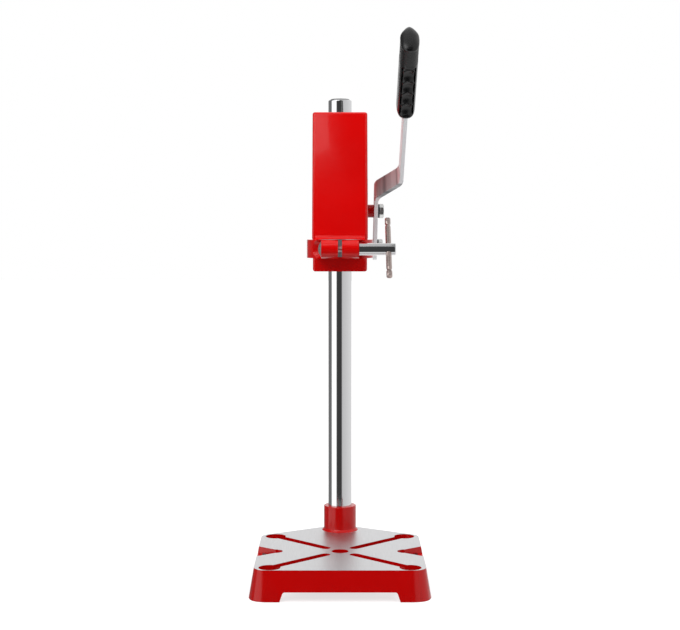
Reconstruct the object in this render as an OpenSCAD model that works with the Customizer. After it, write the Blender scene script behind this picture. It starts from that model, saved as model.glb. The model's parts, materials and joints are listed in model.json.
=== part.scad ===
// Bench stand for a hand drill with a 43 mm collar.
// The origin is where the drill axis, Z, meets the table's top face. The column stands
// behind, on +Y, and the lever is on the user's right, on +X.

/* [Base] */
// Width of the ground work table, across X
table_w = 164; // [140:1:200]
// Depth of the rectangular part of the work table, along Y
table_d = 156; // [135:1:190]
// Height of the table's top face above the bench
base_h = 29; // [24:1:40]
// Thickness of the table plate
table_t = 6; // [4:0.5:9]
// Corner radius of the table's top face
table_corner_r = 13; // [8:1:18]
// How far the skirt flares outwards down to the bench, on each side
skirt_flare = 5; // [2:0.5:8]
// Wall thickness of the skirt
skirt_t = 5; // [3.5:0.5:7]
// Height of the feet below the skirt's lower edge
foot_h = 9; // [5:0.5:12]
// Length of each foot along the skirt
foot_l = 32.5; // [24:0.5:40]
// How much shorter each foot is at the bench than at the skirt
foot_taper = 3.2; // [0:0.1:6]
// Radius of the corners where the feet meet the skirt
foot_corner_r = 2.5; // [1:0.5:4]
// Thickness of the ribs under the table
rib_t = 4; // [3:0.5:6]

/* [Table holes] */
// Side of the square that the corner holes sit on
hole_pitch = 134; // [110:1:136]
// Diameter of the corner holes
corner_hole_d = 21; // [14:0.5:22]
// Width of the diagonal slots
diag_slot_w = 10; // [6:0.5:12]
// Distance from the drill axis to the inner end of a diagonal slot
diag_slot_in = 15.5; // [13:0.5:24]
// Diameter of the centre hole
centre_hole_d = 17; // [12:0.5:22]
// Width of the side notches at the table's edge
notch_w = 43; // [24:1:48]
// Depth of the side notches
notch_d = 25; // [14:1:30]
// Radius at the root of the side notches
notch_r = 7.5; // [3:0.5:9]

/* [Column] */
// Outside diameter of the column tube
column_d = 25; // [22:0.5:30]
// Wall thickness of the column tube
column_wall = 2; // [1.5:0.25:3]
// Length of the column tube
column_l = 475; // [400:5:570]
// Distance from the drill axis to the column axis
throat = 102; // [95:1:125]
// Chamfer on the ends of the column
column_chamfer = 1.4; // [0.5:0.1:1.4]
// Outside diameter of the column socket
socket_d = 34.2; // [33:0.2:42]
// Height of the column socket above the table
socket_h = 26; // [20:1:40]
// Thickness of the floor under the column
socket_floor = 3; // [2:0.5:5]
// Diameter of the grub screw that locks the column
grub_d = 8; // [6:1:8]
// Length of the grub screw
grub_l = 9; // [7:0.5:12]

/* [Head casting] */
// Width of the head's body, across X
head_w = 57; // [54:1:66]
// Height of the head's body
head_h = 166; // [160:1:200]
// Wall thickness of the head
head_wall = 4; // [3:0.5:5]
// Thickness of the two plates that run on the column
guide_t = 8; // [6:0.5:12]
// Length of column that stands above the head at rest
column_over = 16; // [15:1:40]
// Distance from the column axis to the front wall, at the top
face_top = 45; // [40:1:55]
// Distance from the column axis to the front wall, just above the drill collar
face_low = 74; // [68:1:80]
// Distance from the column axis to the front wall, under the drill collar
block_front = 27; // [22:1:34]
// Radius of the head's outside edges
head_edge_r = 3; // [2:0.5:4]
// Radius of the cove between the front wall and the drill collar
cove_r = 6; // [3:0.5:6]
// Radius of the guide plates around the column
guide_r = 19; // [17:0.5:22]

/* [Drill collar] */
// Bore of the drill collar
collar_bore = 43; // [38:1:44]
// Outside diameter of the drill collar
collar_d = 66; // [64:1:72]
// Height of the drill collar
collar_h = 18; // [16:1:20]
// Height of the drill collar's lower face above the underside of the head
collar_up = 16.5; // [13:0.5:24]
// Width of the split in the drill collar
collar_gap = 4; // [2:0.5:5]
// Distance from the drill axis to the clamp bolt
ear_out = 29; // [27.5:0.5:32]
// Half the width across the two clamp ears
ear_half = 18.3; // [16:0.1:20]
// Radius of the flats milled around the clamp ears
spot_r = 10; // [9.5:0.5:11]

/* [Drill clamp] */
// Diameter of the coach bolt through the ears
clamp_bolt_d = 6; // [5:1:8]
// Diameter of the coach bolt's domed head
coach_head_d = 15.4; // [14:0.2:18]
// Height of the coach bolt's domed head
coach_head_h = 3.2; // [2:0.1:4]
// Diameter of the turned clamp barrel
barrel_d = 12; // [11:0.5:14]
// Length of the clamp barrel
barrel_l = 36; // [30:1:44]
// Distance from the barrel's outer end to its tommy bar
tommy_in = 7; // [6:0.5:10]
// Diameter of the tommy bar
tommy_d = 5.5; // [4:0.5:6]
// Length of the tommy bar
tommy_l = 78; // [60:1:90]
// Diameter of the tommy bar's swaged ends
tommy_end_d = 6.4; // [6.2:0.2:8]
// Length of the tommy bar's swaged ends
tommy_end_l = 8; // [5:0.5:12]
// Tilt of the tommy bar from upright, top away from the user
tommy_tilt = 45; // [0:5:90]
// How far the tommy bar is pushed up past its middle
tommy_push = 2.6; // [-10:0.2:10]

/* [Height collar] */
// Outside diameter of the height collar
lock_d = 40; // [36:1:41]
// Height of the height collar
lock_h = 45; // [42:1:60]
// Width of the height collar's split
lock_gap = 2.5; // [1.5:0.5:4]
// Metal between the column and the height collar's clamp bolt
lock_web = 2.5; // [2:0.5:6]
// Distance from the clamp bolt's axis to the back of the height collar's ears
lock_rim = 7; // [6.5:0.5:10]
// Half the width across the height collar's ears
lock_ear_half = 13; // [10:0.5:15]
// Depth of the side guides, along Y
lock_wing = 10; // [6:1:12]
// Diameter of the height collar's clamp bolt
lock_bolt_d = 6; // [5:1:6]

/* [Lever] */
// Travel of the head down the column
stroke = 60; // [50:1:64]
// Offset from the lever pivot back to the fulcrum bolt, and down to it at rest
lever_arm = 37.5; // [34:0.5:40]
// Height of the fulcrum bolt above the lower face of the height collar
fulcrum_up = 17.5; // [12:0.5:20]
// Distance from the column axis forward to the lever pivot
pivot_fwd = 22; // [20:0.5:22]
// Width of the lever bar
lever_w = 25; // [23:0.5:30]
// Thickness of the lever bar
lever_t = 4; // [3:0.5:5]
// Length of the lever bar beyond the fulcrum bolt
lever_tail = 16; // [13:0.5:20]
// Length of the lever bar above its pivot
lever_up = 218; // [190:1:240]
// Distance from the pivot to the lower bend of the lever
bend_low = 30; // [26:1:40]
// Length of lever taken by the joggle between the two bends
bend_run = 21; // [16:1:30]
// Sideways step of the joggle
joggle = 25; // [18:0.5:30]
// Outward lean of the lever above the joggle, in degrees
lever_lean = 1; // [0:0.5:3]
// Diameter of the pivot and fulcrum bolts
pivot_d = 8; // [6:1:8]
// Length of the pivot boss outside the head's wall
boss_l = 7; // [5:0.5:10]
// Diameter of the pivot boss
boss_d = 13.7; // [12.5:0.1:16]
// Thickness of the spring washers
lock_washer_t = 2; // [1.5:0.1:2.5]

/* [Grip] */
// Distance from the pivot to the lower end of the grip
grip_from = 137; // [120:1:150]
// Length of the grip
grip_l = 95; // [85:1:115]
// Width of the grip, across X
grip_w = 18.4; // [17:0.2:22]
// Depth of the grip, across the lever's width
grip_deep = 36; // [33:0.5:42]
// Number of finger grooves
finger_n = 4; // [3:1:4]
// Spacing of the finger grooves
finger_pitch = 15.5; // [14:0.5:18]
// Depth of the finger grooves
finger_cut = 2.2; // [1:0.1:3]

/* [Return spring] */
// Wire diameter of the return spring
wire_d = 2.5; // [2:0.1:3]
// Number of turns of the return spring
turns = 11; // [8:1:12]
// Thickness of the spring's seat washers
seat_t = 1.5; // [1:0.1:2.5]

/* [Hidden] */
$fn = 96;
hull_fn = 32;

// Clearances: sliding and turning fits, and pieces that only pass each other
fit = 0.05;
pass = 0.4;
eps = 0.01;
over = 1;

column_r = column_d/2;
skirt_h = base_h - foot_h;
rear_r = socket_d/2 + 2;
grub_z = socket_h/2;
bench_z = -base_h;
column_z = bench_z + foot_h + socket_floor;
column_top = column_z + column_l;
head_top = column_top - column_over;
head_z = head_top - head_h;
collar_z = head_z + collar_up;
collar_top = collar_z + collar_h;
ear_z = collar_z + collar_h/2;
wall_in = head_w/2 - head_wall;
bridge_t = 5;

lock_z = head_z + guide_t + pass;
lock_top = lock_z + lock_h;
fulcrum_y = throat - pivot_fwd + lever_arm;
fulcrum_z = lock_z + fulcrum_up;
// The fulcrum bolt's inner end stays clear of the split and of the column
fulcrum_low = fulcrum_y - throat - pivot_d/2 - fit;
fulcrum_end = max(lock_gap/2 + 6, sqrt(max(0, pow(column_r + over, 2) - pow(fulcrum_low, 2))));
pivot_y = throat - pivot_fwd;
pivot_z = fulcrum_z + lever_arm;
boss_x = head_w/2 + boss_l;
lever_x = boss_x + fit + lever_t/2;
lever_out = lever_x + lever_t/2;
wall_back = fulcrum_y - boss_d/2 - 1;
lock_bolt_out = column_r + lock_web + lock_bolt_d/2;
lock_bolt_y = throat + lock_bolt_out;
lock_back = lock_bolt_out + lock_rim;
lock_bolt_z = lock_top - 8;
spring_z = lock_top + seat_t;
spring_end = head_top - guide_t - seat_t;
spring_r = column_r + 1.2 + wire_d/2;

// Hexagon sizes and washers, from the thread diameter
function hex_af(d) = d == 8 ? 13 : d == 6 ? 10 : 1.65*d;
function hex_head(d) = 0.56*d;
function hex_nut(d) = 0.8*d;
function washer_od(d) = 2*d;
washer_t = 1.5;

// The lever turns lever_turn degrees as the head moves by stroke, at a constant ratio.
// In the lever's own frame the fulcrum bolt then wanders along track(q), a narrow loop.
lever_turn = 45 + atan((stroke - lever_arm)/lever_arm);
function turned(q) = 45 + lever_turn*q/stroke;
function track(q) = [
    lever_arm*cos(turned(q)) + (q - lever_arm)*sin(turned(q)),
    (q - lever_arm)*cos(turned(q)) - lever_arm*sin(turned(q))];
steps = 40;
track_y = [for (i = [0:steps]) track(stroke*i/steps)[0]];
track_z = [for (i = [0:steps]) track(stroke*i/steps)[1]];

// Offset corner of a strip of thickness t whose middle line runs a, b, c
function unit(v) = v/norm(v);
function left(v) = [-v[1], v[0]];
function mitre(a, b, c, t) =
    let (u = left(unit(b - a)), v = left(unit(c - b)))
    b + (u + v)*t/(1 + u*v);

module x_cylinder(d, l) { rotate([0, 90, 0]) cylinder(h = l, d = d); }

// Plate of 2-D corner radius r between two corners
module round_rect(x0, y0, x1, y1, r) {
    translate([x0 + r, y0]) square([x1 - x0 - 2*r, y1 - y0]);
    translate([x0, y0 + r]) square([x1 - x0, y1 - y0 - 2*r]);
    for (x = [x0 + r, x1 - r], y = [y0 + r, y1 - r])
        translate([x, y]) circle(r);
}

// Hexagon bolt along +X, its head's inner face at X = 0 and its shank towards -X
module hex_bolt(d, l) {
    head = hex_head(d);
    chamfer = 0.6;
    intersection() {
        rotate([0, 90, 0]) cylinder(h = head, d = hex_af(d)/cos(30), $fn = 6);
        union() {
            x_cylinder(hex_af(d)/cos(30) + over, head - chamfer);
            translate([head - chamfer, 0, 0]) rotate([0, 90, 0])
                cylinder(h = chamfer, d1 = hex_af(d)/cos(30), d2 = hex_af(d)/cos(30) - 2.4*chamfer);
        }
    }
    translate([-l, 0, 0]) x_cylinder(d, l + eps);
}

// Hexagon nut along +X from X = 0
module hex_nut_solid(d) {
    difference() {
        rotate([0, 90, 0]) cylinder(h = hex_nut(d), d = hex_af(d)/cos(30), $fn = 6);
        translate([-over, 0, 0]) x_cylinder(d + 2*fit, hex_nut(d) + 2*over);
    }
}

// Washer along +X from X = 0
module washer(od, id, t) {
    difference() {
        x_cylinder(od, t);
        translate([-over, 0, 0]) x_cylinder(id, t + 2*over);
    }
}

// Single-coil spring washer along +X from X = 0
module spring_washer(d, t) {
    difference() {
        washer(d + 6.4, d + 2*fit, t);
        translate([-over, 0, d/2]) rotate([20, 0, 0])
            translate([0, -0.6, -over]) cube([t + 2*over, 1.2, d]);
    }
}

// Base
// Drafted block under the table outline, shrunk by inset on every side
module table_block(inset, z0, z1) {
    r0 = table_corner_r - inset + skirt_flare*(base_h - z0)/base_h;
    r1 = table_corner_r - inset + skirt_flare*(base_h - z1)/base_h;
    rear = rear_r - table_corner_r;
    hull() {
        for (x = [-1, 1], y = [-1, 1])
            translate([x*(table_w/2 - table_corner_r), y*(table_d/2 - table_corner_r), z0])
                cylinder(h = z1 - z0, r1 = r0, r2 = r1, $fn = hull_fn);
        translate([0, throat, z0])
            cylinder(h = z1 - z0, r1 = r0 + rear, r2 = r1 + rear, $fn = 2*hull_fn);
    }
}

// Arch between two feet, its sides leaning outwards down to the bench
module arch_profile(half) {
    lean = atan(foot_taper/foot_h);
    cx = half - foot_corner_r;
    cz = foot_h - foot_corner_r;
    side_x = cx + foot_corner_r*cos(lean);
    side_z = cz + foot_corner_r*sin(lean);
    low_x = side_x + (side_z + foot_h)*tan(lean);
    polygon([[-cx, foot_h], [cx, foot_h], [side_x, side_z], [low_x, -foot_h],
        [-low_x, -foot_h], [-side_x, side_z]]);
    for (x = [-cx, cx]) translate([x, cz]) circle(foot_corner_r);
}

module foot_arches() {
    reach = throat + table_d;
    half_x = table_w/2 + skirt_flare - foot_l;
    half_y = table_d/2 + skirt_flare - foot_l;
    translate([0, reach, 0]) rotate([90, 0, 0]) linear_extrude(2*reach) arch_profile(half_x);
    translate([-reach, 0, 0]) rotate([90, 0, 90]) linear_extrude(2*reach) arch_profile(half_y);
}

module table_cuts() {
    h = table_t + 2*over;
    translate([0, 0, base_h - table_t - over]) {
        for (a = [45:90:315]) rotate([0, 0, a]) {
            out = hole_pitch/sqrt(2);
            translate([diag_slot_in + diag_slot_w/2, -diag_slot_w/2, 0])
                cube([out - diag_slot_in, diag_slot_w, h]);
            translate([diag_slot_in + diag_slot_w/2, 0, 0]) cylinder(h = h, d = diag_slot_w);
            translate([out, 0, 0]) cylinder(h = h, d = corner_hole_d);
        }
        for (m = [0, 1]) mirror([m, 0, 0]) {
            root = table_w/2 - notch_d + notch_r;
            grow = (notch_w/2 - notch_r)/(notch_d - notch_r);
            reach = table_w/2 + skirt_flare + over;
            linear_extrude(h) polygon([[root, -notch_r], [root, notch_r],
                [reach, notch_r + grow*(reach - root)], [reach, -notch_r - grow*(reach - root)]]);
            translate([root, 0, 0]) cylinder(h = h, r = notch_r);
        }
    }
    translate([0, 0, -over]) cylinder(h = base_h + 2*over, d = centre_hole_d);
}

module table_ribs() {
    hub_d = centre_hole_d + 12;
    rib_z = base_h - table_t - 10;
    rib_x = table_w/2 - notch_d - 5;
    translate([0, 0, rib_z]) {
        cylinder(h = 10 + eps, d = hub_d);
        translate([-rib_x, -rib_t/2, 0]) cube([2*rib_x, rib_t, 10 + eps]);
        translate([-rib_t/2, -table_d/2 + 1, 0])
            cube([rib_t, table_d/2 + throat - column_d/2 - 3, 10 + eps]);
    }
    for (x = [-1, 1]) translate([x*rib_x - rib_t/2, -table_d/2 + 1, rib_z])
        cube([rib_t, table_d - 2, 10 + eps]);
}

module base_casting() {
    color("firebrick") translate([0, 0, bench_z]) difference() {
        union() {
            difference() {
                table_block(0, 0, base_h);
                table_block(skirt_t, -over, base_h - table_t);
            }
            intersection() {
                table_ribs();
                table_block(skirt_t/2, eps, base_h - eps);
            }
            translate([0, throat, foot_h]) cylinder(h = skirt_h + socket_h, d = socket_d);
            translate([0, throat, base_h - eps])
                cylinder(h = 2.5, d1 = socket_d + 4, d2 = socket_d);
        }
        foot_arches();
        table_cuts();
        translate([0, throat, column_z - bench_z])
            cylinder(h = base_h + socket_h, r = column_r + fit);
        translate([0, throat, -over]) cylinder(h = base_h, d = column_d/2);
        translate([0, throat + column_r, base_h + grub_z]) rotate([-90, 0, 0])
            cylinder(h = socket_d, d = grub_d + 2*fit);
    }
}

module column_grub_screw() {
    color("dimgray") translate([0, throat + column_r + 2*fit, grub_z]) rotate([-90, 0, 0])
        difference() {
            cylinder(h = grub_l, d = grub_d);
            translate([0, 0, grub_l - 4]) cylinder(h = 4 + over, d = grub_d/2/cos(30), $fn = 6);
        }
}

// Column
module column_tube() {
    color("gainsboro") translate([0, throat, column_z]) difference() {
        rotate_extrude() polygon([
            [column_r - column_wall, 0], [column_r - column_chamfer, 0],
            [column_r, column_chamfer], [column_r, column_l - column_chamfer],
            [column_r - column_chamfer, column_l], [column_r - column_wall, column_l]]);
    }
}

module column_cap() {
    plug_l = 10;
    dome_h = 1;
    color("silver") translate([0, throat, column_top - plug_l]) {
        cylinder(h = plug_l, r = column_r - column_wall - fit);
        translate([0, 0, plug_l - eps])
            cylinder(h = dome_h, r1 = column_r - column_wall - fit, r2 = column_r - column_wall - 3);
    }
}

// Height collar, clamped on the column inside the head
module height_collar() {
    color("dimgray") difference() {
        union() {
            translate([0, throat, lock_z]) cylinder(h = lock_h, d = lock_d);
            translate([-lock_ear_half, throat, lock_z])
                cube([2*lock_ear_half, lock_back, lock_h]);
            translate([pass - wall_in, throat - lock_wing/2, lock_z])
                cube([2*(wall_in - pass), lock_wing, lock_h]);
            translate([lock_gap, fulcrum_y, fulcrum_z]) x_cylinder(boss_d, boss_x - lock_gap);
        }
        translate([0, throat, lock_z - over]) cylinder(h = lock_h + 2*over, r = column_r + fit);
        translate([-lock_gap/2, throat, lock_z - over])
            cube([lock_gap, 2*lock_back, lock_h + 2*over]);
        translate([-head_w, lock_bolt_y, lock_bolt_z]) x_cylinder(lock_bolt_d + 2*fit, 2*head_w);
        // Flats milled round the washers
        for (m = [0, 1]) mirror([m, 0, 0]) translate([lock_ear_half, lock_bolt_y, lock_bolt_z])
            x_cylinder(washer_od(lock_bolt_d) + 2*pass, lock_d/2);
        translate([fulcrum_end, fulcrum_y, fulcrum_z]) x_cylinder(pivot_d + 2*fit, boss_x);
    }
}

module height_clamp_bolt() {
    grip = 2*lock_ear_half + 2*washer_t + hex_nut(lock_bolt_d) + 3;
    color("silver") translate([-lock_ear_half - washer_t, lock_bolt_y, lock_bolt_z])
        mirror([1, 0, 0]) hex_bolt(lock_bolt_d, grip);
}

module height_clamp_washers() {
    color("silver") for (m = [0, 1]) mirror([m, 0, 0])
        translate([lock_ear_half, lock_bolt_y, lock_bolt_z])
            washer(washer_od(lock_bolt_d), lock_bolt_d + 2*fit, washer_t);
}

module height_clamp_nut() {
    color("silver") translate([lock_ear_half + washer_t, lock_bolt_y, lock_bolt_z])
        hex_nut_solid(lock_bolt_d);
}

module fulcrum_bolt() {
    color("silver") translate([lever_out + fit + lock_washer_t, fulcrum_y, fulcrum_z])
        hex_bolt(pivot_d, lever_out + fit + lock_washer_t - fulcrum_end - over);
}

module fulcrum_washer() {
    color("dimgray") translate([lever_out + fit, fulcrum_y, fulcrum_z])
        spring_washer(pivot_d, lock_washer_t);
}

// Return spring and its seats
module spring_seat(z) {
    color("silver") translate([0, throat, z]) difference() {
        cylinder(h = seat_t, r = spring_r + wire_d/2 + 1);
        translate([0, 0, -over]) cylinder(h = seat_t + 2*over, r = column_r + pass/2);
    }
}

module lower_spring_seat() { spring_seat(lock_top); }
module upper_spring_seat() { spring_seat(spring_end); }

// Coil of round wire; its end turns close up against the seats
module return_spring() {
    sides = 6;
    per_turn = 16;
    n = turns*per_turn;
    span = spring_end - spring_z - wire_d - 2*eps;
    closed = wire_d + 0.1;
    pitch = (span - 2*closed)/(turns - 2);
    function rise(i) = let (t = i/per_turn) t < 1 ? closed*t
        : t > turns - 1 ? span - closed*(turns - t)
        : closed + pitch*(t - 1);
    points = [for (i = [0:n], j = [0:sides - 1])
        let (a = 360*i/per_turn, b = 360*j/sides, r = spring_r + wire_d/2*cos(b))
        [r*cos(a), r*sin(a), rise(i) + wire_d/2*(1 + sin(b))]];
    walls = [for (i = [0:n - 1], j = [0:sides - 1], h = [0, 1])
        let (k = (j + 1)%sides, a = i*sides, b = a + sides)
        h == 0 ? [a + j, b + j, b + k] : [a + j, b + k, a + k]];
    ends = [for (j = [1:sides - 2], h = [0, 1])
        h == 0 ? [0, j, j + 1] : [n*sides, n*sides + j + 1, n*sides + j]];
    color("slategray") translate([0, throat, spring_z + eps])
        polyhedron(points, concat(walls, ends));
}

// Head
function face_y(z) = throat - face_low
    + (face_low - face_top)*(z - collar_top)/(head_top - collar_top);

// Side view of the head's body, carried across its width
module head_slab(half_w, points) {
    translate([-half_w, 0, 0]) rotate([90, 0, 90]) linear_extrude(2*half_w) polygon(points);
}

module head_body() {
    front = throat - block_front;
    lip = collar_top - 1;
    head_slab(head_w/2, [[wall_back, head_z], [front, head_z], [front, lip],
        [face_y(lip), lip], [face_y(head_top), head_top], [wall_back, head_top]]);
}

module head_cavity() {
    roof = head_top - guide_t;
    floor_z = head_z + guide_t;
    step = collar_top + head_wall;
    front = throat - block_front + head_wall;
    head_slab(wall_in, [[front, floor_z], [front, step],
        [face_y(step) + head_wall, step], [face_y(roof) + head_wall, roof],
        [wall_back + over, roof], [wall_back + over, floor_z]]);
}

// Arm that carries the drill collar, with a cove where it meets the front wall
module collar_arm() {
    arm_w = head_w - 2*head_edge_r;
    back = face_y(collar_top) + head_wall;
    translate([-arm_w/2, 0, collar_z]) cube([arm_w, throat - block_front + 1, collar_h]);
    difference() {
        translate([-arm_w/2, back - head_wall - cove_r, collar_top - 1])
            cube([arm_w, cove_r + head_wall, cove_r + 1]);
        translate([-head_w, back - head_wall - cove_r, collar_top + cove_r])
            x_cylinder(2*cove_r, 2*head_w);
    }
}

module head_casting() {
    ear_d = collar_h - 0.4;
    color("red") difference() {
        union() {
            difference() {
                head_body();
                head_cavity();
            }
            collar_arm();
            translate([0, 0, collar_z]) cylinder(h = collar_h, d = collar_d);
            translate([-ear_half, -ear_out, ear_z]) x_cylinder(ear_d, 2*ear_half);
            for (z = [head_z, head_top - guide_t]) translate([0, throat, z])
                cylinder(h = guide_t, r = guide_r);
            translate([wall_in + 1, pivot_y, pivot_z]) x_cylinder(boss_d, boss_x - wall_in - 1);
        }
        translate([0, throat, head_z - over])
            cylinder(h = head_h + 2*over, r = column_r + fit);
        translate([0, 0, collar_z - over])
            cylinder(h = collar_h + cove_r + 2*over, d = collar_bore);
        translate([-collar_gap/2, -collar_d, collar_z - over])
            cube([collar_gap, collar_d, collar_h + 2*over]);
        for (m = [0, 1]) mirror([m, 0, 0])
            translate([ear_half, -ear_out, ear_z]) x_cylinder(2*spot_r, collar_d);
        translate([-collar_d, -ear_out, ear_z]) x_cylinder(clamp_bolt_d + 2*fit, 2*collar_d);
        translate([-ear_half - over, -ear_out, ear_z])
            coach_neck(neck_l + over, clamp_bolt_d + 2*fit);
        arm_pocket();
        translate([0, pivot_y, pivot_z]) x_cylinder(pivot_d + 2*fit, head_w);
    }
}

neck_l = 4;

// Square neck along +X that keeps the coach bolt from turning
module coach_neck(l, side) {
    translate([0, -side/2, -side/2]) cube([l, side, side]);
}

// Hollow under the arm between the drill collar and the head's body
module arm_pocket() {
    front = collar_d/2 + 5;
    back = throat - block_front - 5;
    translate([-wall_in + 4, front, collar_z - over])
        cube([2*(wall_in - 4), back - front, collar_h - bridge_t + over]);
}

// Lever pivot
module pivot_bolt() {
    color("silver") translate([lever_out + fit + lock_washer_t, pivot_y, pivot_z])
        hex_bolt(pivot_d, lever_out + lock_washer_t - wall_in + hex_nut(pivot_d) + over);
}

module pivot_washer() {
    color("dimgray") translate([lever_out + fit, pivot_y, pivot_z])
        spring_washer(pivot_d, lock_washer_t);
}

module pivot_nut() {
    color("silver") translate([wall_in - hex_nut(pivot_d), pivot_y, pivot_z])
        hex_nut_solid(pivot_d);
}

// Drill clamp
module coach_bolt() {
    r = (coach_head_d*coach_head_d/4 + coach_head_h*coach_head_h)/(2*coach_head_h);
    thread_end = ear_half + barrel_l - tommy_in - tommy_d/2 - 2;
    color("silver") translate([0, -ear_out, ear_z]) {
        translate([-ear_half, 0, 0]) {
            intersection() {
                translate([r - coach_head_h, 0, 0]) sphere(r);
                translate([-coach_head_h, 0, 0]) x_cylinder(coach_head_d, coach_head_h);
            }
            coach_neck(neck_l - fit, clamp_bolt_d);
        }
        translate([-ear_half, 0, 0]) x_cylinder(clamp_bolt_d, ear_half + thread_end);
    }
}

module clamp_barrel() {
    chamfer = 0.8;
    x0 = ear_half + 2*fit;
    bore_l = barrel_l - tommy_in - tommy_d/2 - 1;
    color("gainsboro") translate([x0, -ear_out, ear_z]) difference() {
        union() {
            x_cylinder(barrel_d, barrel_l - chamfer);
            translate([barrel_l - chamfer, 0, 0]) rotate([0, 90, 0])
                cylinder(h = chamfer, d1 = barrel_d, d2 = barrel_d - 2*chamfer);
        }
        translate([-over, 0, 0]) x_cylinder(clamp_bolt_d + 2*fit, bore_l + over);
        translate([barrel_l - tommy_in, 0, 0]) rotate([-tommy_tilt, 0, 0])
            cylinder(h = 2*barrel_d, d = tommy_d + 2*fit, center = true);
    }
}

module tommy_bar() {
    half = tommy_l/2;
    neck = tommy_d/2 - 0.6;
    body_r = tommy_d/2;
    end_r = tommy_end_d/2;
    shoulder = half - tommy_end_l;
    color("rosybrown") translate([ear_half + 2*fit + barrel_l - tommy_in, -ear_out, ear_z])
        rotate([-tommy_tilt, 0, 0]) translate([0, 0, tommy_push]) rotate_extrude() polygon([
            [0, -half], [end_r - 1, -half], [end_r, -half + 1], [end_r, -shoulder - 2],
            [neck, -shoulder], [body_r, -shoulder + 3],
            [body_r, shoulder - 3], [neck, shoulder], [end_r, shoulder + 2],
            [end_r, half - 1], [end_r - 1, half], [0, half]]);
}

// Lever
bend_high = bend_low + bend_run;
tail_end = lever_arm*sqrt(2) + lever_tail;
lever_line = [[0, -tail_end], [0, bend_low], [joggle, bend_high],
    [joggle + (lever_up - bend_high)*tan(lever_lean), lever_up]];

// Edge of the lever bar's side view, t away from its middle line
function lever_edge(t) = [
    lever_line[0] + t*left(unit(lever_line[1] - lever_line[0])),
    mitre(lever_line[0], lever_line[1], lever_line[2], t),
    mitre(lever_line[1], lever_line[2], lever_line[3], t),
    lever_line[3] + t*left(unit(lever_line[3] - lever_line[2]))];

// Puts a piece that is drawn upright at the pivot into the lever's rest position
module at_lever() {
    translate([lever_x, pivot_y, pivot_z]) rotate([45, 0, 0]) children();
}

module lever_strip(t, w) {
    near = lever_edge(t/2);
    far = lever_edge(-t/2);
    rotate([90, 0, 0]) translate([0, 0, -w/2]) linear_extrude(w)
        polygon(concat(near, [for (i = [3:-1:0]) far[i]]));
}

// Slot that the fulcrum bolt wanders in, seen along X
module fulcrum_slot() {
    r = pivot_d/2 + pass;
    rotate([90, 0, 90]) linear_extrude(4*lever_t, center = true)
        round_rect(min(track_y) - r, min(track_z) - r, max(track_y) + r, max(track_z) + r, r);
}

module lever_bar() {
    color("silver") at_lever() difference() {
        intersection() {
            lever_strip(lever_t, lever_w);
            union() {
                translate([-joggle, -lever_w/2, -tail_end + lever_w/2])
                    cube([3*joggle, lever_w, tail_end + lever_up]);
                translate([-joggle, 0, -tail_end + lever_w/2]) x_cylinder(lever_w, 2*joggle);
            }
        }
        fulcrum_slot();
        translate([-joggle, 0, 0]) x_cylinder(pivot_d + 2*fit, 2*joggle);
    }
}

module grip_section(inset) {
    r = grip_w/2 - inset;
    flank = grip_deep/2 - grip_w/2;
    for (s = [-1, 1]) translate([0, s*flank]) circle(r);
    translate([-r, -flank]) square([2*r, 2*flank]);
}

module lever_grip() {
    end_cut = 3;
    groove_r = (finger_pitch*finger_pitch/4 + finger_cut*finger_cut)/(2*finger_cut);
    mid_x = joggle + (grip_from - bend_high)*tan(lever_lean);
    color("#222222") at_lever() difference() {
        translate([mid_x, 0, grip_from]) rotate([0, lever_lean, 0]) difference() {
            union() {
                translate([0, 0, end_cut]) linear_extrude(grip_l - 2*end_cut) grip_section(0);
                translate([0, 0, 1]) linear_extrude(grip_l - 2) grip_section(1.2);
                linear_extrude(grip_l) grip_section(end_cut);
            }
            for (i = [0:finger_n - 1])
                translate([-grip_w, -grip_deep/2 - groove_r + finger_cut, 14 + finger_pitch*i])
                    x_cylinder(2*groove_r, 2*grip_w);
        }
        lever_strip(lever_t + 2*fit, lever_w + 2*fit);
    }
}

base_casting();
column_grub_screw();
column_tube();
column_cap();
height_collar();
height_clamp_bolt();
height_clamp_washers();
height_clamp_nut();
fulcrum_bolt();
fulcrum_washer();
lower_spring_seat();
return_spring();
upper_spring_seat();
head_casting();
pivot_bolt();
pivot_washer();
pivot_nut();
coach_bolt();
clamp_barrel();
tommy_bar();
lever_bar();
lever_grip();
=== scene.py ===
import json
import math
import bmesh
import bpy
import numpy as np
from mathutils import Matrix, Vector


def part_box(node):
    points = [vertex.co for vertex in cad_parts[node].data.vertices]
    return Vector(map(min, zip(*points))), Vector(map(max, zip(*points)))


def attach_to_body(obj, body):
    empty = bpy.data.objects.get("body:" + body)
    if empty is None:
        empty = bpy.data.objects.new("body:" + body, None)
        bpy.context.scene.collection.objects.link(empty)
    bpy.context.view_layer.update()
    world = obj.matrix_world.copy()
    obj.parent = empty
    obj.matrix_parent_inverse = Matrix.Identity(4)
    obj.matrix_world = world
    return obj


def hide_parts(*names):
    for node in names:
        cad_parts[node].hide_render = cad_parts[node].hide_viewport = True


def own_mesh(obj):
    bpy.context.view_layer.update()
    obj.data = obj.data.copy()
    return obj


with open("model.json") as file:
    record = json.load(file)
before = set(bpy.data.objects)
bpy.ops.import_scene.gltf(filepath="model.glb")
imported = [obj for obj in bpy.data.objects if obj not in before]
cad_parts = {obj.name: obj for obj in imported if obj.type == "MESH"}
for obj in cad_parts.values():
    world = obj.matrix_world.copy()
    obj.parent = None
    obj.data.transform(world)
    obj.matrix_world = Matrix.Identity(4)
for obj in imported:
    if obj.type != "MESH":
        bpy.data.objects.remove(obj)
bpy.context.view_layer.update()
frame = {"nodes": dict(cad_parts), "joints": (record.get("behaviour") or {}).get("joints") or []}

nodes = frame["nodes"]
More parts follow.
